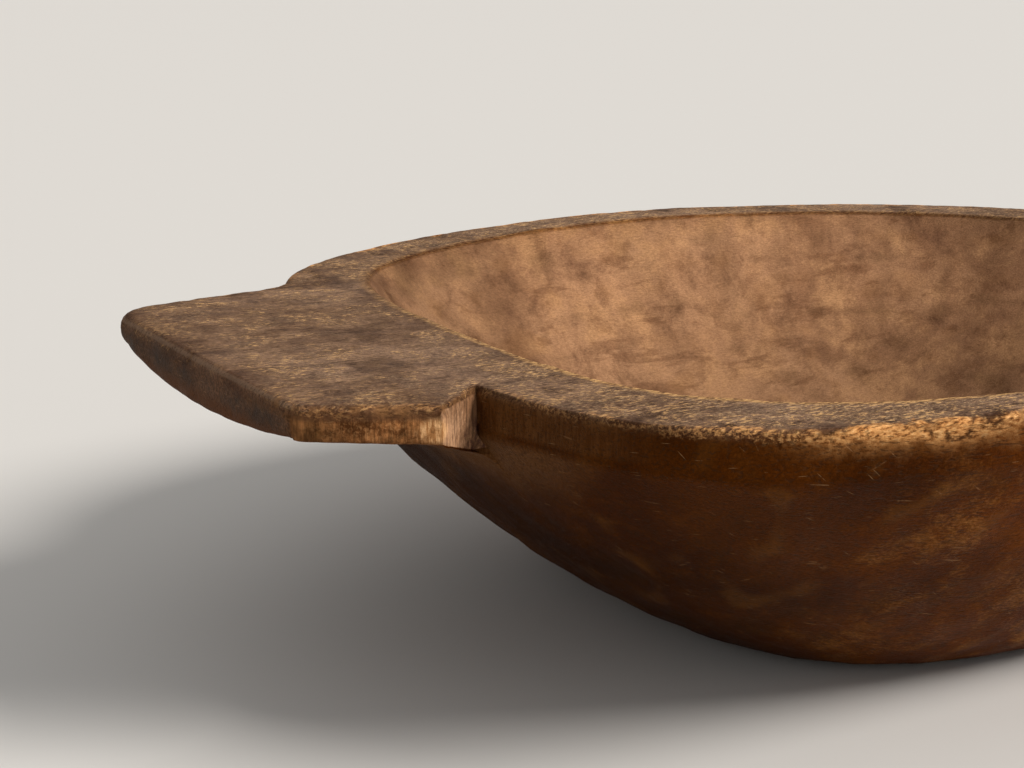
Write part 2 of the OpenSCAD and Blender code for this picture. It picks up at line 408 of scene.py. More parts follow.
# chips in the outer edge and knocks all over: how many, radii, and depth as a share of radius
CHIPS_IN_EDGE = (170, (1.8, 5.5), (0.05, 0.18))
KNOCKS = (150, (1.6, 4.5), (0.04, 0.12))
# how much of the chipping and raggedness the far side has
FAR_CHIPPED = 0.35
FAR_RAGGED = 0.3


def lattice_noise(p, size, seed):
    """Smooth noise from -1 to 1 with lumps of about the given size (a number or one per axis)."""
    q = p / np.asarray(size, float)
    cell = np.floor(q).astype(np.int64)
    f = q - cell
    f = f * f * (3 - 2 * f)
    total = 0
    for corner in np.ndindex(2, 2, 2):
        c = cell + np.array(corner)
        h = c[..., 0] * 374761393 + c[..., 1] * 668265263 + c[..., 2] * 2147483647 + seed * 974711
        h = (h ^ (h >> 13)) * 1274126177
        h = (h ^ (h >> 16)) & 0xFFFFFF
        w = np.prod(np.where(np.array(corner) == 1, f, 1 - f), -1)
        total = total + w * (h / 0x7FFFFF - 1)
    return total


def strokes(points, normals, where, along, spacing, radii, depth, seed):
    """Overlapping tool strokes: how far each point lies above the deepest stroke over it."""
    rng = np.random.default_rng(seed)
    flat = np.argwhere(where)
    order = rng.permutation(len(flat))
    centres = np.zeros((0, 3))
    chosen = []
    for k in order[:STROKE_TRIES]:
        p = points[tuple(flat[k])]
        if not len(centres) or np.min(np.sum((centres - p) ** 2, 1)) > spacing ** 2:
            centres = np.vstack((centres, p))
            chosen.append(tuple(flat[k]))
    c_n = np.array([normals[k] for k in chosen])
    side = np.cross(along(centres), c_n)
    side /= np.linalg.norm(side, axis=1)[:, None]
    run = np.cross(c_n, side)
    turn = rng.normal(0, STROKE_LEAN, len(centres))[:, None]
    c, s = np.cos(turn), np.sin(turn)
    run, side = run * c + side * s, side * c - run * s
    bite = rng.uniform(0, 1, len(centres)) * depth
    out = np.zeros(where.shape)
    pts = points[where]
    found = np.empty(len(pts))
    for k in range(0, len(pts), BATCH):
        d = pts[k:k + BATCH, None] - centres[None]
        u = np.einsum("pkc,kc->pk", d, run)
        v = np.einsum("pkc,kc->pk", d, side)
        w = np.einsum("pkc,kc->pk", d, c_n)
        h = u * u / (2 * radii[0]) + v * v / (2 * radii[1]) + 0.03 * w * w - bite
        first = np.partition(h, 1, axis=1)[:, :2]
        # neighbouring strokes meet in a ridge that wear has softened a little
        apart = first[:, 1] - first[:, 0]
        found[k:k + BATCH] = first[:, 0] - RIDGE_WEAR * np.exp(-apart / RIDGE_WEAR)
    out[where] = found
    return out


def nicks(points, spots, radii, depths):
    """Small dents: how deep each point sits in the dents around the given spots."""
    out = np.zeros(points.shape[:2])
    for p, r, d in zip(spots, radii, depths):
        near = np.sum((points - p) ** 2, -1) / (r * r)
        out = np.maximum(out, d * np.clip(1 - near, 0, 1) ** 1.5)
    return out


def round_the_bowl(c):
    away = c - np.array((0.0, AXIS_Y, 0.0))
    return np.stack((-away[:, 1], away[:, 0], 0 * away[:, 0]), -1)


def down_the_wall(c):
    return np.tile((0.0, 0.0, 1.0), (len(c), 1)) + round_the_bowl(c) * 0.0015


def carve():
    """Moves the skin by the marks of the tools and of wear; returns it with its relief."""
    p = SKIN.copy()
    n = grid_normals(p)
    outer = np.isin(ZONE, (WALL, UNDER, SIDE)) & (p[..., 2] > 0.5)
    inner = np.isin(ZONE, (HOLLOW, FLOOR, LIP))
    top = ZONE == TOP
    brow = ZONE == BROW
    edge_zone = np.isin(ZONE, (SIDE, BROW, TOP))
    handle = np.isin(KIND_AT, (FLANK, TIP)) & np.isin(ZONE, (UNDER, SIDE, BROW, TOP))
    far = p[..., 1] > 0

    adze = np.clip(strokes(p, n, outer, down_the_wall, **ADZE), -0.6, 1.5) * outer
    gouge = np.clip(strokes(p, n, inner, round_the_bowl, **GOUGE), -0.5, 1.2) * inner
    relief = adze * np.where(handle, 0.35, 1.0) + gouge * 0.8

    # slow unevenness of the whole piece
    slow = 0.9 * lattice_noise(p, 70.0, 3) + 0.45 * lattice_noise(p, 31.0, 4)
    fine = 0.16 * lattice_noise(p, 9.0, 5) + 0.09 * lattice_noise(p, 4.3, 6)
    weight = np.where(top, 0.35, np.where(brow, 0.55, 1.0))
    weight = weight * np.where(handle, 0.45, 1.0)
    relief = relief + slow * weight * 0.6 + fine

    # grain raised on the flat top, in long ridges along X
    grain = 0.16 * lattice_noise(p, (46.0, 3.6, 9.0), 7)
    grain = grain + 0.10 * lattice_noise(p, (24.0, 1.9, 6.0), 8)
    relief = relief + grain * top

    # broken fibres on the near flank, and the marks of the saw in the near shoulder cuts
    torn = 0.34 * lattice_noise(p, (3.2, 3.2, 13.0), 9)
    torn = torn + 0.2 * lattice_noise(p, (1.9, 1.9, 6.0), 10)
    relief = relief + torn * ((ZONE == SIDE) & (KIND_AT == FLANK))
    sawn = 0.14 * lattice_noise(p, (2.6, 2.6, 40.0), 14)
    relief = relief + sawn * (np.isin(ZONE, (SIDE, UNDER)) & (KIND_AT == NEAR_SHOULDER))

    # worn and chipped outer edge
    rng = np.random.default_rng(21)
    ring = int(np.argmax(ZONES == BROW)) + 2
    count, sizes, shares = CHIPS_IN_EDGE
    picks = rng.integers(0, NC, count)
    radii = rng.uniform(*sizes, count)
    depths = radii * rng.uniform(*shares, count)
    chips = nicks(p, p[ring, picks] - n[ring, picks] * 0.5, radii, depths)
    chips = chips * np.where(far, FAR_CHIPPED, 1.0) * WORN_ROUND
    relief = relief - chips * edge_zone
    ragged = np.clip(lattice_noise(p, (9.0, 9.0, 5.0), 15), -0.2, 1) * 0.3
    relief = relief - ragged * brow * np.where(far, FAR_RAGGED, 1.0) * WORN_ROUND

    # small knocks all over
    count, sizes, shares = KNOCKS
    spots = rng.integers(0, NR * NC, count)
    radii = rng.uniform(*sizes, count)
    depths = radii * rng.uniform(*shares, count)
    knocks = nicks(p, p.reshape(-1, 3)[spots], radii, depths)
    relief = relief - knocks * (ZONE != BASE)

    # the marks die out towards the base, so that the bowl stands level
    fade = np.clip(p[..., 2] / 6.0, 0, 1) ** 0.7
    relief = relief * np.where(inner | top, 1.0, fade)
    p = p + n * relief[..., None]
    p[..., 2] = np.maximum(p[..., 2], 0)
    return p, relief, chips * edge_zone + knocks


CARVED, RELIEF, CHIPS = carve()


def surface_distance(first_ring):
    """Distance over the skin from one ring: positive up the list of rings, negative down it."""
    step = np.linalg.norm(np.diff(SKIN, axis=0), axis=-1)
    run = np.concatenate((np.zeros((1, NC)), np.cumsum(step, 0)))
    return run - run[first_ring]


def bare_spots():
    """Where a chip has left bare wood beside the near shoulder cuts."""
    spot = np.zeros(SKIN.shape[:2])
    corner = wall(NEAR_ANGLE, 0.0) - NEAR_CUT
    for side in (1, -1):
        c = np.array((side * (corner[0] - 3.0), corner[1], BOWL_H - 9.0))
        away = (SKIN - c) / np.array((8.0, 6.0, 5.0))
        spot = np.maximum(spot, np.clip(1.6 * (1 - np.sum(away ** 2, -1)), 0, 1))
    return spot


def rubbed_rim():
    """How much the rim is rubbed by hands: most on the near rim, least on the handles."""
    side = np.abs(SKIN[..., 1] - AXIS_Y) / NEAR_HALF
    return np.clip(1.6 * side - 0.35, 0, 1) * np.where(SKIN[..., 1] < 0, 1.0, 0.6)


def gilded_edge():
    """How bright the outer rim edge is worn: faint beside the handles, strong along the sides."""
    x = np.abs(SKIN[..., 0])
    strength = 0.12 + 0.88 * np.clip((226.0 - x) / 80.0, 0, 1)
    return np.clip(strength * (1 + 0.45 * lattice_noise(SKIN, 34.0, 31)), 0, 1)


def lit_and_handled_wall():
    """Where the wall is lighter towards the middle of the sides: partly rubbed where the bowl is
    carried, partly painted light.
    """
    x = np.abs(SKIN[..., 0])
    lighter = np.clip((205.0 - x) / 160.0, 0, 1)
    return np.clip(lighter + 0.30 * lattice_noise(SKIN, (48.0, 48.0, 30.0), 32), 0, 1)


def beside_cut():
    """The wall that the saw bared beside the near shoulder cuts, lightened with painted light on
    that facet.
    """
    corner = wall(NEAR_ANGLE, 0.0)
    x = -corner[0] - np.abs(SKIN[..., 0])
    z = BOWL_H - SKIN[..., 2]
    spot = np.clip(x / 2.0 + 1.0, 0, 1) * np.clip((12.0 + 0.35 * z - x) / 12.0, 0, 1)
    spot = spot * np.clip((z - 15.0) / 4.0, 0, 1) * np.clip((56.0 - z) / 22.0, 0, 1)
    band = np.clip(x / 2.0 + 1.0, 0, 1) * np.clip((30.0 - x) / 24.0, 0, 1)
    band = band * np.clip((z - 1.0) / 2.0, 0, 1) * np.clip((15.0 - z) / 2.0, 0, 1)
    return np.maximum(spot, 0.6 * band) * (SKIN[..., 1] < 0) * np.isin(ZONE, (WALL, UNDER, SIDE))


def region_masks():
    """Fields over the skin that the finish uses: distances in mm, and shares from 0 to 1."""
    brow_ring = int(np.argmax(ZONES == BROW)) + EDGE_RINGS // 2
    lip_ring = int(np.argmax(ZONES == LIP)) + 1
    is_side = np.isin(ZONE, (SIDE, UNDER))
    return {
        "below_edge": -surface_distance(brow_ring),
        "inside_lip": surface_distance(lip_ring),
        "top_face": blur((ZONE == TOP) * 1.0 + (ZONE == BROW) * 0.5, 2),
        "hollow_face": blur(np.isin(ZONE, (HOLLOW, FLOOR)) * 1.0, 1),
        "end_face": blur(1.0 * ((ZONE == SIDE) & (KIND_AT == TIP)), 2),
        "at_tip": blur(1.0 * (KIND_AT == TIP), 5, False),
        "rubbed": rubbed_rim(),
        "gilded": gilded_edge(),
        "lit_and_handled_wall": lit_and_handled_wall(),
        "dusky_end": np.clip((-SKIN[..., 0] - 65.0) / 55.0, 0, 1)
        + 0.35 * np.clip((SKIN[..., 0] - 140.0) / 70.0, 0, 1),
        "beside_cut": beside_cut(),
        "from_end": np.clip((TIP_X - NEAR_SHORT - np.abs(SKIN[..., 0])) / HANDLE_REACH, 0, 1),
        "lip_wear": np.clip(0.62 - (SKIN[..., 1] - AXIS_Y) / 150.0 * 0.55, 0.12, 1),
        "flank_face": blur(1.0 * (is_side & (KIND_AT == FLANK)), 2),
        "cut_face": 1.0 * ((ZONE == SIDE) & (IN_CUT | BY_CUT)),
        # painted shade: the undersides of the handles
        "shade_under_handle": blur(1.0 * ((ZONE == UNDER) & np.isin(KIND_AT, (FLANK, TIP))), 3),
        "relief": RELIEF - blur(RELIEF, 14),
        "chip": CHIPS,
        "bare_wood": bare_spots(),
    }


def skin_places():
    """Place on the skin as (round the rim, up the wall and over it), in metres."""
    step = np.linalg.norm(np.roll(OUTLINE, -1, 0) - OUTLINE, axis=1)
    around = np.broadcast_to(np.cumsum(step)[None], (NR, NC))
    climb = surface_distance(int(np.argmax(ZONES == BROW)))
    return np.stack((around, climb, 0 * climb), -1) * MM


def crease(mesh):
    """Keeps the near shoulder cuts crisp along their upright corners and their lower edge."""
    ends = np.empty(len(mesh.edges) * 2, np.int32)
    mesh.edges.foreach_get("vertices", ends)
    ends = ends.reshape(-1, 2)
    ring, column = ends // NC, ends % NC
    ring = np.minimum(ring, NR - 1)
    cut = KIND == NEAR_SHOULDER
    before, after = np.roll(KIND, 1), np.roll(KIND, -1)
    corner = cut & ((before == FLANK) | (after == FLANK))
    corner = corner | (KIND == RIM) & ((before == NEAR_SHOULDER) | (after == NEAR_SHOULDER))
    first_side = int(np.argmax(ZONES == SIDE))
    upright = (column[:, 0] == column[:, 1]) & corner[column[:, 0]]
    upright = upright & (ring.min(1) >= first_side - 4) & (ring.max(1) < first_side + FLANK_RINGS)
    lower = (ring == first_side - 1).all(1) & (cut | corner)[column].all(1)
    mesh.attributes.new("sharp_edge", "BOOLEAN", "EDGE").data.foreach_set("value", upright | lower)


def build_mesh():
    mesh = bpy.data.meshes.new("bowl_wood")
    poles = [[0, AXIS_Y, 0], [0, AXIS_Y, FLOOR_THK]]
    pts = np.concatenate((CARVED.reshape(-1, 3), poles)) * MM
    here = np.arange(NC)
    after = (here + 1) % NC
    ring = np.arange(NR - 1)[:, None] * NC
    quads = (ring + here, ring + after, ring + NC + after, ring + NC + here)
    quads = np.stack(quads, -1).reshape(-1, 4)
    last = (NR - 1) * NC
    under = np.stack((np.full(NC, NR * NC), after, here), -1)
    floor = np.stack((np.full(NC, NR * NC + 1), last + here, last + after), -1)
    loops = np.concatenate((quads.ravel(), under.ravel(), floor.ravel()))
    starts = np.concatenate((np.arange(len(quads)) * 4, len(quads) * 4 + np.arange(2 * NC) * 3))
    mesh.vertices.add(len(pts))
    mesh.vertices.foreach_set("co", pts.ravel())
    mesh.loops.add(len(loops))
    mesh.loops.foreach_set("vertex_index", loops.astype(np.int32))
    mesh.polygons.add(len(starts))
    mesh.polygons.foreach_set("loop_start", starts.astype(np.int32))
    mesh.update(calc_edges=True)
    mesh.validate()
    mesh.polygons.foreach_set("use_smooth", np.ones(len(mesh.polygons), bool))
    crease(mesh)
    for name, field in region_masks().items():
        values = np.concatenate((field.ravel(), [field[0].mean(), field[-1].mean()]))
        made = mesh.attributes.new(name, "FLOAT", "POINT")
        made.data.foreach_set("value", values.astype(np.float32))
    place = np.concatenate((skin_places().reshape(-1, 3), np.zeros((2, 3))))
    made = mesh.attributes.new("skin_place", "FLOAT_VECTOR", "POINT")
    made.data.foreach_set("vector", place.ravel().astype(np.float32))
    obj = bpy.data.objects.new("bowl_wood", mesh)
    bpy.context.scene.collection.objects.link(obj)
    return obj


# ---------------------------------------------------------------- shader helpers
class Nodes:
    """Short way to lay out shader nodes in one tree."""

    def __init__(self, tree):
        self.tree = tree

    def feed(self, socket, value):
        if isinstance(value, bpy.types.NodeSocket):
            self.tree.links.new(value, socket)
        elif isinstance(value, tuple) and len(value) == 3 and socket.type == "RGBA":
            socket.default_value = (*value, 1)
        else:
            socket.default_value = value

    def new(self, kind, out=0, settings=None, **inputs):
        node = self.tree.nodes.new(kind)
        for key, value in (settings or {}).items():
            setattr(node, key, value)
        for key, value in inputs.items():
            self.feed(node.inputs[key.replace("_", " ")], value)
        return node.outputs[out]

    def math(self, op, a, b=0.0, c=0.0):
        node = self.tree.nodes.new("ShaderNodeMath")
        node.operation = op
        for socket, value in zip(node.inputs, (a, b, c)):
            self.feed(socket, value)
        return node.outputs[0]

    def ramp(self, value, low, high, to_low=0.0, to_high=1.0):
        node = self.tree.nodes.new("ShaderNodeMapRange")
        node.interpolation_type = "SMOOTHSTEP"
        for key, v in zip(("Value", "From Min", "From Max", "To Min", "To Max"),
                          (value, low, high, to_low, to_high)):
            self.feed(node.inputs[key], v)
        return node.outputs[0]

    def blend(self, mask, a, b, mode="MIX"):
        node = self.tree.nodes.new("ShaderNodeMix")
        node.data_type = "RGBA"
        node.blend_type = mode
        self.feed(node.inputs[0], mask)
        self.feed(node.inputs[6], a)
        self.feed(node.inputs[7], b)
        return node.outputs[2]

    def shade(self, colour, value):
        """Multiplies a colour by a plain value."""
        return self.blend(1.0, colour, value, "MULTIPLY")

    def field(self, name, out=2):
        return self.new("ShaderNodeAttribute", out=out, settings={"attribute_name": name})


def group(name, inputs, outputs):
    """An empty node group with named sockets; returns it with its maker and its two ends."""
    tree = bpy.data.node_groups.new(name, "ShaderNodeTree")
    for socket, kind, value in inputs:
        made = tree.interface.new_socket(socket, in_out="INPUT", socket_type=kind)
        if value is not None:
            made.default_value = value
    for socket, kind in outputs:
        tree.interface.new_socket(socket, in_out="OUTPUT", socket_type=kind)
    start = tree.nodes.new("NodeGroupInput").outputs
    end = tree.nodes.new("NodeGroupOutput").inputs
    return tree, Nodes(tree), start, end


VECTOR, FLOAT = "NodeSocketVector", "NodeSocketFloat"


def grain_group():
    """Wood fibres along X: broad streaks, fine streaks, light flecks and short dark pores."""
    tree, g, start, end = group("wood_fibres", [("Place", VECTOR, None)],
                                [("Broad", FLOAT), ("Fine", FLOAT), ("Flecks", FLOAT),
                                 ("Pores", FLOAT)])
    drift = g.new("ShaderNodeTexNoise", out=1, Vector=start["Place"], Scale=9.0, Detail=1.0)
    bent = g.tree.nodes.new("ShaderNodeVectorMath")
    bent.operation = "MULTIPLY_ADD"
    g.feed(bent.inputs[0], drift)
    bent.inputs[1].default_value = (0.006, 0.006, 0.006)
    g.feed(bent.inputs[2], start["Place"])
    for out, stretch_x, scale, detail, rough in (
            ("Broad", 0.22, 95.0, 6.0, 0.62), ("Fine", 0.42, 1250.0, 5.0, 0.75),
            ("Flecks", 0.30, 1900.0, 2.0, 0.6), ("Pores", 0.12, 1000.0, 2.0, 0.6)):
        long = g.new("ShaderNodeMapping", Vector=bent.outputs[0], Scale=(stretch_x, 1.0, 1.0))
        noise = g.new("ShaderNodeTexNoise", Vector=long, Scale=scale, Detail=detail,
                      Roughness=rough)
        if out in ("Flecks", "Pores"):
            noise = g.ramp(noise, 0.54, 0.66)
        g.feed(end[out], noise)
    return tree


def patina_group():
    """Hand-worn dark patina: clouds, blotches, small stains and fine grit."""
    tree, g, start, end = group("patina", [("Place", VECTOR, None)],
                                [("Clouds", FLOAT), ("Blotches", FLOAT), ("Stains", FLOAT),
                                 ("Grit", FLOAT)])
    for out, scale, detail, rough in (("Clouds", 13.0, 5.0, 0.60), ("Blotches", 58.0, 8.0, 0.70),
                                      ("Stains", 34.0, 8.0, 0.66), ("Grit", 900.0, 3.0, 0.6)):
        g.feed(end[out], g.new("ShaderNodeTexNoise", Vector=start["Place"], Scale=scale,
                               Detail=detail, Roughness=rough, Distortion=0.3))
    return tree


def scratch_group():
    """Sparse thin scratches over the skin, in leaning directions."""
    tree, g, start, end = group("scratches", [("Place", VECTOR, None), ("Amount", FLOAT, 0.5)],
                                [("Lines", FLOAT)])
    found = []
    # each set has a lean in radians, cells per metre along and across, and the share left empty
    for turn, scale, share in ((0.10, (34.0, 560.0, 1.0), 0.965),
                               (-0.50, (48.0, 700.0, 1.0), 0.982),
                               (1.15, (64.0, 800.0, 1.0), 0.990),
                               (-0.06, (90.0, 1300.0, 1.0), 0.930),
                               (0.75, (80.0, 900.0, 1.0), 0.965)):
        lean = g.new("ShaderNodeMapping", Vector=start["Place"], Rotation=(0.0, 0.0, turn))
        long = g.new("ShaderNodeMapping", Vector=lean, Scale=scale)
        cells = g.tree.nodes.new("ShaderNodeTexVoronoi")
        cells.voronoi_dimensions = "2D"
        g.feed(cells.inputs["Vector"], long)
        cells.inputs["Scale"].default_value = 1.0
        lot = g.new("ShaderNodeSeparateColor", Color=cells.outputs["Color"])
        chosen = g.ramp(lot, share, share + 0.02)
        found.append(g.math("MULTIPLY", g.ramp(cells.outputs["Distance"], 0.20, 0.07), chosen))
    most = found[0]
    for other in found[1:]:
        most = g.math("MAXIMUM", most, other)
    gate = g.new("ShaderNodeTexNoise", Vector=start["Place"], Scale=90.0, Detail=6.0,
                 Roughness=0.75)
    low = g.math("SUBTRACT", 0.62, g.math("MULTIPLY", start["Amount"], 0.35))
    gate = g.ramp(gate, low, g.math("ADD", low, 0.10))
    g.feed(end["Lines"], g.math("MULTIPLY", most, gate))
    return tree


# colours of the wood and of the light and shade painted on it, as linear red, green and blue
WAX_DARK = (0.046, 0.0095, 0.0002)
WAX_BROWN = (0.080, 0.0190, 0.0006)
WAX_THIN = (0.105, 0.0300, 0.0035)
WALL_RUBBED = (0.175, 0.0700, 0.0150)
WALL_BARE = (0.300, 0.1350, 0.0450)
HOLLOW_BROWN = (0.272, 0.138, 0.071)
HOLLOW_LIGHT = (0.430, 0.232, 0.122)
HOLLOW_GOLD = (0.500, 0.270, 0.130)
HOLLOW_BLOTCH = (0.190, 0.090, 0.044)
HOLLOW_STAIN = (0.135, 0.063, 0.035)
HOLLOW_STREAK = (0.150, 0.066, 0.032)
TOP_BROWN = (0.172, 0.096, 0.058)
TOP_LIGHT = (0.270, 0.162, 0.104)
TOP_WORN = (0.335, 0.203, 0.124)
TOP_BLOTCH = (0.095, 0.054, 0.036)
TOP_STAIN = (0.062, 0.033, 0.020)
TOP_GRAIN = (0.080, 0.045, 0.030)
TOP_DASH = (0.054, 0.026, 0.014)
TOP_GOLD = (0.740, 0.430, 0.185)
TOP_SLIVER = (0.700, 0.470, 0.260)
END_DARK = (0.044, 0.0205, 0.0100)
END_BROWN = (0.085, 0.0420, 0.0225)
END_LOWER = (0.105, 0.0340, 0.0090)
TORN_DARK = (0.110, 0.040, 0.013)
TORN_LIGHT = (0.360, 0.155, 0.056)
TORN_GRIT = (0.360, 0.175, 0.070)
TORN_UPPER = (0.085, 0.042, 0.024)
CUT_BROWN = (0.225, 0.112, 0.056)
CUT_PALE = (0.480, 0.270, 0.150)
CUT_PIT = (0.100, 0.043, 0.034)
# painted shade on the undersides of the handles
UNDER_HANDLE_SHADE = (0.066, 0.022, 0.0070)
EDGE_BROWN = (0.420, 0.172, 0.052)
EDGE_GOLD = (0.760, 0.380, 0.138)
EDGE_GLINT = (0.900, 0.510, 0.215)
EDGE_PIT = (0.070, 0.026, 0.008)
EDGE_STAIN = (0.070, 0.027, 0.009)
EDGE_LOWER = (0.230, 0.092, 0.027)
# painted highlight along the top edge of the handle ends
TIP_EDGE_HIGHLIGHT = (0.270, 0.170, 0.110)
LIP_BROWN = (0.300, 0.145, 0.056)
LIP_GOLD = (0.760, 0.440, 0.180)
# dirt with painted shade in the tool marks, and polish with painted highlight on their ridges
DIRT_AND_SHADE = (0.030, 0.011, 0.002)
POLISH_AND_HIGHLIGHT = (0.300, 0.130, 0.030)
KNOCKED = (0.330, 0.155, 0.060)
CHIP_BROWN = (0.420, 0.190, 0.068)
CHIP_PALE = (0.820, 0.480, 0.230)
# sawn wood lightened with painted light on the facet beside the shoulder cuts
SAWN_AND_LIT_DARK = (0.085, 0.0330, 0.0095)
SAWN_AND_LIT_BROWN = (0.150, 0.0650, 0.0230)
SCRATCH = (0.400, 0.225, 0.105)
PORE = (0.035, 0.016, 0.008)


class Finish(Nodes):
    """Textures and fields of the bowl, and the paint of each part of it."""

    def __init__(self, tree):
        super().__init__(tree)
        place = self.new("ShaderNodeTexCoord", out=3)
        skin_place = self.field("skin_place", out=1)
        self.fibre = self.use(grain_group(), Place=place)
        self.patina = self.use(patina_group(), Place=place)
        self.lines = self.use(scratch_group(), Place=skin_place, Amount=0.5)["Lines"]
        self.streaks = self.stretched(skin_place, (34.0, 11.0, 1.0), 5.0, 0.6)
        self.dashes = self.stretched(place, (340.0, 900.0, 900.0), 4.0, 0.66)
        self.scored = self.stretched(place, (900.0, 900.0, 110.0), 3.0, 0.7)
        self.cloud = self.ramp(self.patina["Clouds"], 0.34, 0.66)
        self.below, self.inside = self.field("below_edge"), self.field("inside_lip")
        self.rubbed, self.lighter = self.field("rubbed"), self.field("lit_and_handled_wall")
        self.inner, self.cut = self.field("hollow_face"), self.field("cut_face")
        self.wander = self.times(self.less(self.patina["Blotches"], 0.5), 26.0)

    def use(self, made, **inputs):
        node = self.tree.nodes.new("ShaderNodeGroup")
        node.node_tree = made
        for key, value in inputs.items():
            self.feed(node.inputs[key], value)
        return node.outputs

    def stretched(self, place, scale, detail, rough):
        """Noise drawn out along the directions of smaller scale."""
        long = self.new("ShaderNodeMapping", Vector=place, Scale=scale)
        return self.new("ShaderNodeTexNoise", Vector=long, Scale=1.0, Detail=detail,
                        Roughness=rough)

    def times(self, a, b):
        return self.math("MULTIPLY", a, b)

    def plus(self, a, b):
        return self.math("ADD", a, b)

    def less(self, a, b):
        return self.math("SUBTRACT", a, b)

    def most(self, a, b):
        return self.math("MAXIMUM", a, b)

    def over(self, colour, *layers):
        """Lays each (mask, colour) over the colour in turn."""
        for mask, layer in layers:
            colour = self.blend(mask, colour, layer)
        return colour

    def wall_paint(self):
        """Dark waxy outer wall, with broken lighter patches, and painted light that brightens it
        towards the middle of the sides.
        """
        blotches, stains = self.patina["Blotches"], self.patina["Stains"]
        rubs = self.times(self.ramp(stains, 0.48, 0.64), self.ramp(blotches, 0.42, 0.60))
        fine = self.fibre["Fine"]
        broken = self.times(self.ramp(stains, 0.46, 0.60), self.ramp(fine, 0.44, 0.62))
        deep = self.ramp(self.below, 55.0, 110.0, 0.0, 0.34)
        deep = self.times(deep, self.less(1.0, self.lighter))
        paint = self.over(
            self.blend(self.cloud, WAX_DARK, WAX_BROWN),
            (self.ramp(blotches, 0.46, 0.66, 0.0, 0.5), WAX_THIN),
            (self.times(rubs, self.times(0.75, self.lighter)), WALL_RUBBED),
            (self.times(broken, self.times(0.30, self.lighter)), WALL_BARE))
        # painted light: the wall is brightened towards the middle of the sides
        paint = self.shade(paint, self.plus(0.76, self.times(0.80, self.lighter)))
        paint = self.shade(paint, self.less(1.0, deep))
        paint = self.shade(paint, self.ramp(fine, 0.36, 0.64, 0.82, 1.20))
        return self.shade(paint, self.ramp(self.patina["Grit"], 0.34, 0.66, 0.84, 1.18))

    def hollow_paint(self):
        """Lighter pinkish brown, with golden and dark patches, streaked down the walls; painted
        light near the lip and painted shade deeper down.
        """
        blotches, stains = self.patina["Blotches"], self.patina["Stains"]
        paint = self.over(
            self.blend(self.cloud, HOLLOW_BROWN, HOLLOW_LIGHT),
            (self.ramp(stains, 0.46, 0.66, 0.0, 0.8), HOLLOW_GOLD),
            (self.ramp(blotches, 0.52, 0.34, 0.0, 0.6), HOLLOW_BLOTCH),
            (self.ramp(stains, 0.48, 0.30, 0.0, 0.8), HOLLOW_STAIN),
            (self.ramp(self.fibre["Broad"], 0.55, 0.66, 0.0, 0.5), HOLLOW_STREAK))
        paint = self.shade(paint, self.ramp(self.fibre["Fine"], 0.38, 0.62, 0.86, 1.16))
        streaked = self.shade(paint, self.ramp(self.streaks, 0.30, 0.70, 0.86, 1.18))
        paint = self.blend(self.ramp(self.inside, 55.0, 100.0, 1.0, 0.0), paint, streaked)
        # painted light and shade: lighter near the lip, darker deeper in the hollow
        paint = self.shade(paint, self.ramp(self.inside, 25.0, 120.0, 1.18, 0.84))
        return self.shade(paint, self.ramp(self.field("dusky_end"), 0.0, 1.0, 1.0, 0.68))

    def top_paint(self):
        """Flat top of the rim and handles: grey-brown, with golden flecks and dark stains."""
        blotches, stains = self.patina["Blotches"], self.patina["Stains"]
        stained = self.plus(0.50, self.times(self.rubbed, 0.48))
        dark_dash = self.plus(0.50, self.times(self.rubbed, 0.35))
        paint = self.over(
            self.blend(self.ramp(self.patina["Clouds"], 0.38, 0.62), TOP_BROWN, TOP_LIGHT),
            (self.ramp(blotches, 0.48, 0.66, 0.0, 0.7), TOP_WORN),
            (self.ramp(blotches, 0.47, 0.34, 0.0, 0.6), TOP_BLOTCH),
            (self.times(self.ramp(stains, 0.47, 0.37), stained), TOP_STAIN),
            (self.ramp(self.fibre["Broad"], 0.47, 0.37, 0.0, 0.4), TOP_GRAIN))
        paint = self.shade(paint, self.ramp(self.fibre["Fine"], 0.36, 0.64, 0.84, 1.20))
        paint = self.shade(paint, self.ramp(self.patina["Grit"], 0.34, 0.66, 0.84, 1.18))
        golden = self.times(self.ramp(self.dashes, 0.545, 0.59), self.ramp(blotches, 0.40, 0.52))
        spread = self.most(self.rubbed, self.ramp(stains, 0.47, 0.58))
        golden = self.times(golden, self.plus(0.10, self.times(spread, 0.88)))
        slivers = self.times(self.fibre["Flecks"], self.ramp(stains, 0.42, 0.56))
        return self.over(
            paint,
            (self.times(self.ramp(self.dashes, 0.43, 0.35), dark_dash), TOP_DASH),
            (golden, TOP_GOLD),
            (self.times(slivers, self.plus(0.35, self.times(self.rubbed, 0.35))), TOP_SLIVER))

    def end_paint(self):
        """Dark end of the handle, browner towards its lower edge."""
        paint = self.blend(self.cloud, END_DARK, END_BROWN)
        paint = self.shade(paint, self.ramp(self.patina["Blotches"], 0.36, 0.62, 0.60, 1.50))
        paint = self.shade(paint, self.ramp(self.patina["Grit"], 0.38, 0.62, 0.70, 1.35))
        return self.blend(self.ramp(self.below, 8.0, 15.0, 0.0, 0.85), paint, END_LOWER)

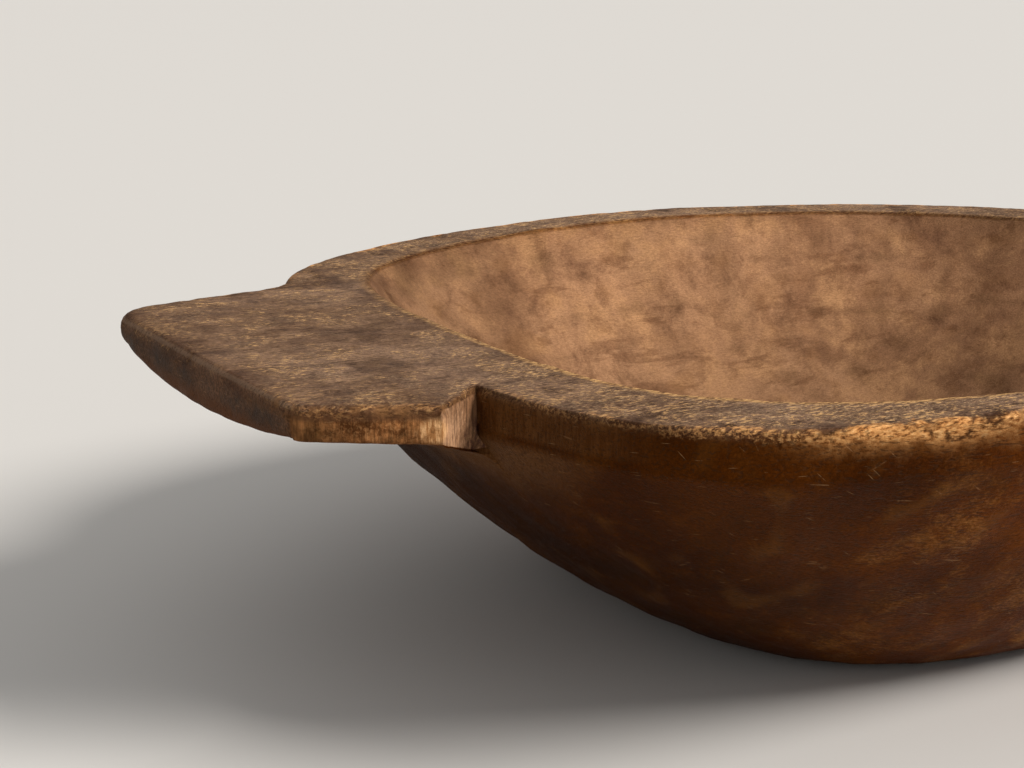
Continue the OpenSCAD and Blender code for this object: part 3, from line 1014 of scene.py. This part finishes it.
    def flank_paint(self):
        """Golden-brown torn flank of the handle, lighter towards the shoulder cut."""
        paint = self.blend(self.ramp(self.patina["Blotches"], 0.40, 0.58), TORN_DARK, TORN_LIGHT)
        paint = self.blend(self.ramp(self.patina["Grit"], 0.50, 0.62, 0.0, 0.5), paint, TORN_GRIT)
        paint = self.shade(paint, self.ramp(self.patina["Stains"], 0.40, 0.58, 0.55, 1.25))
        paint = self.shade(paint, self.ramp(self.scored, 0.36, 0.64, 0.68, 1.34))
        paint = self.shade(paint, self.ramp(self.field("from_end"), 0.0, 0.80, 0.55, 1.50))
        return self.blend(self.ramp(self.below, 5.5, 3.0, 0.0, 0.75), paint, TORN_UPPER)

    def cut_paint(self):
        """Pale shoulder cut, scored by the saw, with a few dark pits low down."""
        blotches = self.patina["Blotches"]
        paint = self.blend(self.ramp(blotches, 0.40, 0.62), CUT_BROWN, CUT_PALE)
        paint = self.shade(paint, self.ramp(self.scored, 0.36, 0.62, 0.62, 1.40))
        pits = self.times(self.ramp(blotches, 0.47, 0.40), self.ramp(self.below, 9.0, 14.0))
        return self.blend(self.times(pits, 0.8), paint, CUT_PIT)

    def gild(self, skin):
        """Worn golden edge: a thin broken line all along, and wider bare patches with pits; and a
        painted highlight along the top edge of the handle ends.
        """
        blotches, dashes, gilded = self.patina["Blotches"], self.dashes, self.field("gilded")
        at_tip = self.field("at_tip")
        ragged = self.plus(self.below, self.wander)
        hidden = self.most(self.times(at_tip, 0.9), self.most(self.inner, self.cut))
        gold = self.blend(self.ramp(dashes, 0.40, 0.58), EDGE_BROWN, EDGE_GOLD)
        gold = self.blend(self.ramp(dashes, 0.59, 0.64), gold, EDGE_GLINT)
        gold = self.shade(gold, self.ramp(blotches, 0.38, 0.60, 0.72, 1.24))
        gold = self.over(
            gold,
            (self.ramp(dashes, 0.42, 0.36, 0.0, 0.7), EDGE_PIT),
            (self.ramp(blotches, 0.43, 0.35), EDGE_STAIN),
            (self.ramp(ragged, 1.0, 7.0, 0.0, 0.85), EDGE_LOWER))
        line = self.times(self.ramp(ragged, -2.6, -0.8), self.ramp(ragged, 2.4, 0.8))
        line = self.times(line, self.ramp(dashes, 0.44, 0.54))
        line = self.times(line, self.ramp(gilded, 0.1, 0.6, 0.25, 0.9))
        patch = self.times(self.ramp(ragged, 11.5, 2.0), self.ramp(ragged, -4.0, -1.0))
        patch = self.times(patch, self.ramp(gilded, 0.40, 0.85))
        patch = self.times(patch, self.ramp(dashes, 0.30, 0.44, 0.35, 1.0))
        patch = self.times(patch, self.ramp(self.patina["Stains"], 0.36, 0.46, 0.50, 1.0))
        worn = self.times(self.most(line, patch), self.less(1.0, hidden))
        # painted highlight: a thin light line along the top edge of the handle ends
        crisp = self.times(self.ramp(self.below, -1.8, -0.6), self.ramp(self.below, 1.2, 0.2))
        return self.over(skin, (worn, gold),
                         (self.times(self.times(crisp, at_tip), 0.55), TIP_EDGE_HIGHLIGHT))

    def line_lip(self, skin):
        """Thin golden line along the worn lip of the hollow."""
        lip_place = self.plus(self.inside, self.times(self.wander, 0.12))
        lip = self.times(self.ramp(lip_place, -6.0, -2.6), self.ramp(lip_place, 1.8, 0.6))
        lip = self.times(lip, self.field("lip_wear"))
        lip = self.times(lip, self.ramp(self.dashes, 0.38, 0.50, 0.30, 1.0))
        gold = self.blend(self.ramp(self.dashes, 0.42, 0.60), LIP_BROWN, LIP_GOLD)
        return self.blend(lip, skin, gold)

    def weather(self, skin, few):
        """Dirt and painted shade in the tool marks, polish and painted highlight on their ridges,
        fresh wood with painted light beside the shoulder cuts, scratches and pores.
        """
        relief, scored = self.field("relief"), self.scored
        chip_wood = self.blend(self.ramp(scored, 0.40, 0.60), CHIP_BROWN, CHIP_PALE)
        sawn = self.blend(self.ramp(scored, 0.36, 0.64), SAWN_AND_LIT_DARK, SAWN_AND_LIT_BROWN)
        bare = self.times(self.field("bare_wood"), self.ramp(self.patina["Blotches"], 0.40, 0.54))
        return self.over(
            skin,
            # dirt and painted shade in the hollows of the tool marks
            (self.ramp(relief, -0.06, -0.40, 0.0, 0.30), DIRT_AND_SHADE),
            # polish and painted highlight on the ridges of the tool marks
            (self.ramp(relief, 0.10, 0.45, 0.0, 0.12), POLISH_AND_HIGHLIGHT),
            (self.ramp(self.field("chip"), 0.20, 0.60, 0.0, 0.45), KNOCKED),
            (bare, chip_wood),
            # sawn wood with painted light: the facet beside the near shoulder cuts is lightened
            (self.times(self.field("beside_cut"), self.less(0.85, self.cut)), sawn),
            (self.times(self.lines, 0.45), SCRATCH),
            (self.times(self.fibre["Pores"], few), PORE))

    def colour(self, few):
        skin = self.over(
            self.wall_paint(),
            (self.field("top_face"), self.top_paint()),
            (self.inner, self.hollow_paint()),
            (self.field("end_face"), self.end_paint()),
            (self.field("flank_face"), self.flank_paint()),
            (self.ramp(self.cut, 0.45, 0.70), self.cut_paint()),
            # painted shade darkens the undersides of the handles
            (self.times(self.field("shade_under_handle"), 0.85), UNDER_HANDLE_SHADE))
        return self.weather(self.line_lip(self.gild(skin)), few)

    def roughness(self):
        rough = self.blend(self.field("top_face"), (0.56, 0.56, 0.56), (0.74, 0.74, 0.74))
        rough = self.blend(self.inner, rough, (0.60, 0.60, 0.60))
        return self.plus(rough, self.ramp(self.patina["Blotches"], 0.3, 0.7, -0.09, 0.12))

    def height(self, few):
        height = self.times(self.fibre["Fine"], 0.45)
        height = self.plus(height, self.times(self.dashes, 0.5))
        height = self.plus(height, self.times(self.patina["Grit"], 0.4))
        height = self.plus(height, self.times(self.fibre["Broad"], 0.5))
        height = self.less(height, self.times(self.fibre["Pores"], few))
        height = self.less(height, self.times(self.lines, 0.4))
        return self.plus(height, self.times(self.patina["Blotches"], 0.9))


def wood_material():
    material = bpy.data.materials.new("old_worn_wood")
    material.use_nodes = True
    tree = material.node_tree
    tree.nodes.clear()
    finish = Finish(tree)
    # pores are fewer in the hollow and on torn or sawn wood
    other = finish.most(finish.inner, finish.most(finish.field("flank_face"), finish.cut))
    few = finish.less(0.5, finish.times(other, 0.45))
    bump = finish.new("ShaderNodeBump", Height=finish.height(few), Strength=0.6, Distance=0.0010)
    shader = finish.new("ShaderNodeBsdfPrincipled", Base_Color=finish.colour(few),
                        Roughness=finish.roughness(), Normal=bump,
                        Specular_IOR_Level=0.07, Specular_Tint=(1.0, 0.52, 0.18))
    out = tree.nodes.new("ShaderNodeOutputMaterial")
    tree.links.new(shader, out.inputs["Surface"])
    return material


# ---------------------------------------------------------------- studio
def lay_floor():
    """Plain pale floor, a wide disc."""
    rim = 96
    radius = 14.0
    a = np.linspace(0, 2 * np.pi, rim, endpoint=False)
    mesh = bpy.data.meshes.new("floor")
    circle = [(radius * np.cos(t), radius * np.sin(t), 0.0) for t in a]
    mesh.from_pydata(circle, [], [list(range(rim))])
    floor = bpy.data.objects.new("floor", mesh)
    bpy.context.scene.collection.objects.link(floor)
    material = bpy.data.materials.new("pale_floor")
    material.use_nodes = True
    paint = material.node_tree.nodes["Principled BSDF"]
    paint.inputs["Base Color"].default_value = (0.78, 0.765, 0.74, 1)
    paint.inputs["Roughness"].default_value = 0.85
    mesh.materials.append(material)


def light_studio():
    """One soft sun high on the right in front, and even pale air all round."""
    bpy.context.scene.view_settings.view_transform = "Standard"
    world = bpy.data.worlds.new("studio_air")
    world.use_nodes = True
    air = world.node_tree.nodes["Background"]
    air.inputs["Color"].default_value = (1.0, 0.985, 0.965, 1)
    air.inputs["Strength"].default_value = 0.42
    bpy.context.scene.world = world
    data = bpy.data.lights.new("soft_lamp", "SUN")
    data.energy = 2.7
    data.angle = np.radians(24.0)
    data.color = (1.0, 0.955, 0.90)
    lamp = bpy.data.objects.new("soft_lamp", data)
    towards = Vector((0.58, -0.52, 0.63))
    lamp.rotation_euler = towards.to_track_quat("Z", "Y").to_euler()
    lamp.location = towards * 3.0
    bpy.context.scene.collection.objects.link(lamp)


def put_on(obj, body, node, material):
    obj.data.materials.append(material)
    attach(obj, body)
    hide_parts(node)


put_on(build_mesh(), "root", "bowl_body", wood_material())
lay_floor()
light_studio()
